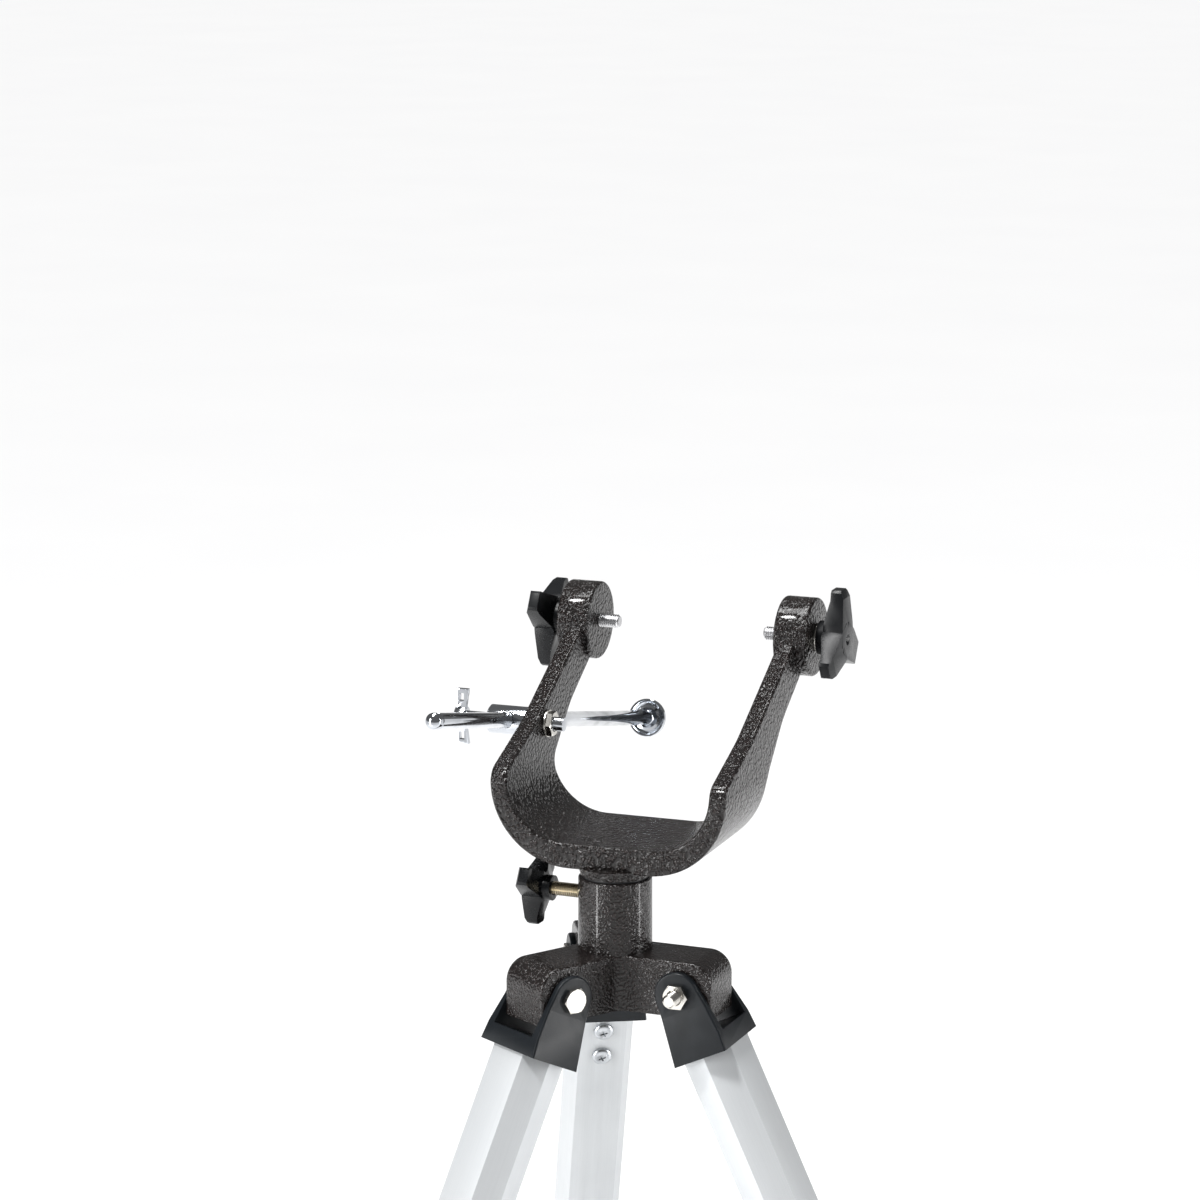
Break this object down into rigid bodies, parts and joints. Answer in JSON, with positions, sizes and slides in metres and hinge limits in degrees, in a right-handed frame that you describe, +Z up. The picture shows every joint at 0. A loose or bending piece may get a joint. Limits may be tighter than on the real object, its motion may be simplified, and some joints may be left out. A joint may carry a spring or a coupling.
{
  "type": "alt-azimuth telescope mount",
  "caption": "Alt-azimuth yoke mount on a folding three-legged stand: raked casting with clamp knobs, swivelling slow-motion rod, and telescoping hexagonal legs.",
  "frame": {"origin": "on the floor, on the azimuth axis, with the legs spread and pushed in", "axes": "+Z up along the azimuth axis, +X along the altitude axis to the right, -Y to the front, where the telescope points"},
  "size_m": [0.4818, 0.5425, 0.7355],
  "materials": {
    "hammertone_paint": "gloss hammertone enamel on cast aluminium",
    "knob_plastic": "gloss black moulding",
    "bracket_plastic": "satin black moulding",
    "chrome_plate": "bright chrome",
    "nickel_plate": "bright nickel",
    "zinc_screw": "zinc plate",
    "brass_screw": "bright thread",
    "bearing_bronze": "turned bronze",
    "spindle_steel": "turned steel",
    "nylon": "natural nylon",
    "leg_aluminium": "satin clear anodised",
    "foot_rubber": "matt black",
    "pin_steel": "plain steel"
  },
  "bodies": {
    "head": {"tripod_head": "hammertone_paint", "azimuth_bush": "bearing_bronze", "thrust_washer": "nylon", "leg_hinge_bolts": "nickel_plate", "leg_hinge_nuts": "nickel_plate"},
    "azimuth_clamp": {"clamp_knob": "knob_plastic", "clamp_screw": "brass_screw"},
    "yoke": {"yoke": "hammertone_paint", "azimuth_spindle": "spindle_steel", "spindle_washer": "nickel_plate", "spindle_bolt": "nickel_plate", "altitude_washers": "nickel_plate"},
    "altitude_clamp_left": {"altitude_knob_left": "knob_plastic", "altitude_stud_left": "spindle_steel"},
    "altitude_clamp_right": {"altitude_knob_right": "knob_plastic", "altitude_stud_right": "spindle_steel"},
    "swivel_post": {"swivel_post": "chrome_plate", "post_washer": "nickel_plate", "post_nut": "nickel_plate"},
    "wing_screw": {"wing_screw": "chrome_plate"},
    "altitude_rod": {"altitude_rod": "chrome_plate"},
    "rod_end_cup": {"rod_end_cup": "chrome_plate"},
    "brace_hub": {"brace_hub": "bracket_plastic", "brace_hub_pins": "pin_steel"},
    "leg_left": {"leg_bracket_left": "bracket_plastic", "bracket_screws_left": "zinc_screw", "upper_leg_left": "leg_aluminium", "leg_lock_collar_left": "bracket_plastic", "brace_clip_left": "bracket_plastic", "brace_clip_pin_left": "pin_steel"},
    "extension_left": {"lower_leg_left": "leg_aluminium", "lower_leg_guide_left": "nylon", "foot_left": "foot_rubber"},
    "leg_lock_left": {"leg_lock_screw_left": "spindle_steel", "leg_lock_knob_left": "knob_plastic"},
    "brace_arm_left": {"brace_arm_left": "bracket_plastic"},
    "leg_right": {"leg_bracket_right": "bracket_plastic", "bracket_screws_right": "zinc_screw", "upper_leg_right": "leg_aluminium", "leg_lock_collar_right": "bracket_plastic", "brace_clip_right": "bracket_plastic", "brace_clip_pin_right": "pin_steel"},
    "extension_right": {"lower_leg_right": "leg_aluminium", "lower_leg_guide_right": "nylon", "foot_right": "foot_rubber"},
    "leg_lock_right": {"leg_lock_screw_right": "spindle_steel", "leg_lock_knob_right": "knob_plastic"},
    "brace_arm_right": {"brace_arm_right": "bracket_plastic"},
    "leg_rear": {"leg_bracket_rear": "bracket_plastic", "bracket_screws_rear": "zinc_screw", "upper_leg_rear": "leg_aluminium", "leg_lock_collar_rear": "bracket_plastic", "brace_clip_rear": "bracket_plastic", "brace_clip_pin_rear": "pin_steel"},
    "extension_rear": {"lower_leg_rear": "leg_aluminium", "lower_leg_guide_rear": "nylon", "foot_rear": "foot_rubber"},
    "leg_lock_rear": {"leg_lock_screw_rear": "spindle_steel", "leg_lock_knob_rear": "knob_plastic"},
    "brace_arm_rear": {"brace_arm_rear": "bracket_plastic"}
  },
  "joints": [
    {"name": "azimuth_turn", "type": "hinge", "parent": "head", "child": "yoke", "pos_m": [0, 0, 0.62597], "axis": [0, 0, 1], "continuous": true},
    {"name": "azimuth_clamp_turn", "type": "hinge", "parent": "head", "child": "azimuth_clamp", "pos_m": [-0.02828, 0.00099, 0.61727], "axis": [-0.9994, 0.0349, 0], "range_deg": [-360, 0]},
    {"name": "altitude_clamp_left_turn", "type": "hinge", "parent": "yoke", "child": "altitude_clamp_left", "pos_m": [-0.059, 0.097, 0.71347], "axis": [-1, 0, 0], "range_deg": [-360, 0]},
    {"name": "altitude_clamp_right_turn", "type": "hinge", "parent": "yoke", "child": "altitude_clamp_right", "pos_m": [0.059, 0.097, 0.71347], "axis": [1, 0, 0], "range_deg": [-360, 0]},
    {"name": "post_swivel", "type": "hinge", "parent": "yoke", "child": "swivel_post", "pos_m": [-0.0575, 0.0366, 0.67997], "axis": [1, 0, 0], "range_deg": [-45, 15]},
    {"name": "wing_screw_turn", "type": "hinge", "parent": "swivel_post", "child": "wing_screw", "pos_m": [-0.0825, 0.0366, 0.67997], "axis": [-1, 0, 0], "range_deg": [-360, 0]},
    {"name": "rod_slide", "type": "slide", "parent": "swivel_post", "child": "altitude_rod", "axis": [0, 0.9767, -0.2147], "range_m": [-0.06, 0.03]},
    {"name": "cup_turn", "type": "hinge", "parent": "altitude_rod", "child": "rod_end_cup", "pos_m": [-0.062, 0.20849, 0.64218], "axis": [0, 0.9767, -0.2147], "continuous": true},
    {"name": "leg_left_fold", "type": "hinge", "parent": "head", "child": "leg_left", "pos_m": [-0.01802, -0.02883, 0.58097], "axis": [0.848, -0.5299, 0], "range_deg": [0, 20]},
    {"name": "leg_left_extend", "type": "slide", "parent": "leg_left", "child": "extension_left", "axis": [-0.224, -0.3584, -0.9063], "range_m": [0, 0.4]},
    {"name": "leg_left_lock_turn", "type": "hinge", "parent": "leg_left", "child": "leg_lock_left", "pos_m": [-0.16073, -0.25723, 0.07322], "axis": [-0.4803, -0.7686, 0.4226], "range_deg": [-360, 0]},
    {"name": "leg_right_fold", "type": "hinge", "parent": "head", "child": "leg_right", "pos_m": [0.03398, -0.00119, 0.58097], "axis": [0.0349, 0.9994, 0], "range_deg": [0, 20]},
    {"name": "leg_right_extend", "type": "slide", "parent": "leg_right", "child": "extension_right", "axis": [0.4224, -0.0147, -0.9063], "range_m": [0, 0.4]},
    {"name": "leg_right_lock_turn", "type": "hinge", "parent": "leg_right", "child": "leg_lock_right", "pos_m": [0.30313, -0.01059, 0.07322], "axis": [0.9058, -0.0316, 0.4226], "range_deg": [-360, 0]},
    {"name": "leg_rear_fold", "type": "hinge", "parent": "head", "child": "leg_rear", "pos_m": [-0.01596, 0.03002, 0.58097], "axis": [-0.8829, -0.4695, 0], "range_deg": [0, 20]},
    {"name": "leg_rear_extend", "type": "slide", "parent": "leg_rear", "child": "extension_rear", "axis": [-0.1984, 0.3731, -0.9063], "range_m": [0, 0.4]},
    {"name": "leg_rear_lock_turn", "type": "hinge", "parent": "leg_rear", "child": "leg_lock_rear", "pos_m": [-0.1424, 0.26782, 0.07322], "axis": [-0.4255, 0.8002, 0.4226], "range_deg": [-360, 0]},
    {"name": "brace_hub_rise", "type": "slide", "parent": "head", "child": "brace_hub", "axis": [0, 0, 1], "range_m": [0, 0.02412]},
    {"name": "brace_arm_left_swing", "type": "hinge", "parent": "brace_hub", "child": "brace_arm_left", "pos_m": [-0.00901, -0.01442, 0.44797], "axis": [0.848, -0.5299, 0], "range_deg": [0, 32.31]},
    {"name": "brace_arm_right_swing", "type": "hinge", "parent": "brace_hub", "child": "brace_arm_right", "pos_m": [0.01699, -0.00059, 0.44797], "axis": [0.0349, 0.9994, 0], "range_deg": [0, 32.31]},
    {"name": "brace_arm_rear_swing", "type": "hinge", "parent": "brace_hub", "child": "brace_arm_rear", "pos_m": [-0.00798, 0.01501, 0.44797], "axis": [-0.8829, -0.4695, 0], "range_deg": [0, 32.31]}
  ],
  "couplings": [
    {"joint": "leg_right_fold", "follows": "leg_left_fold", "ratio": 1},
    {"joint": "leg_rear_fold", "follows": "leg_left_fold", "ratio": 1},
    {"joint": "brace_hub_rise", "follows": "leg_left_fold", "m_per_rad": 0.069063},
    {"joint": "brace_arm_left_swing", "follows": "leg_left_fold", "ratio": 1.6146},
    {"joint": "brace_arm_right_swing", "follows": "leg_left_fold", "ratio": 1.6146},
    {"joint": "brace_arm_rear_swing", "follows": "leg_left_fold", "ratio": 1.6146}
  ]
}
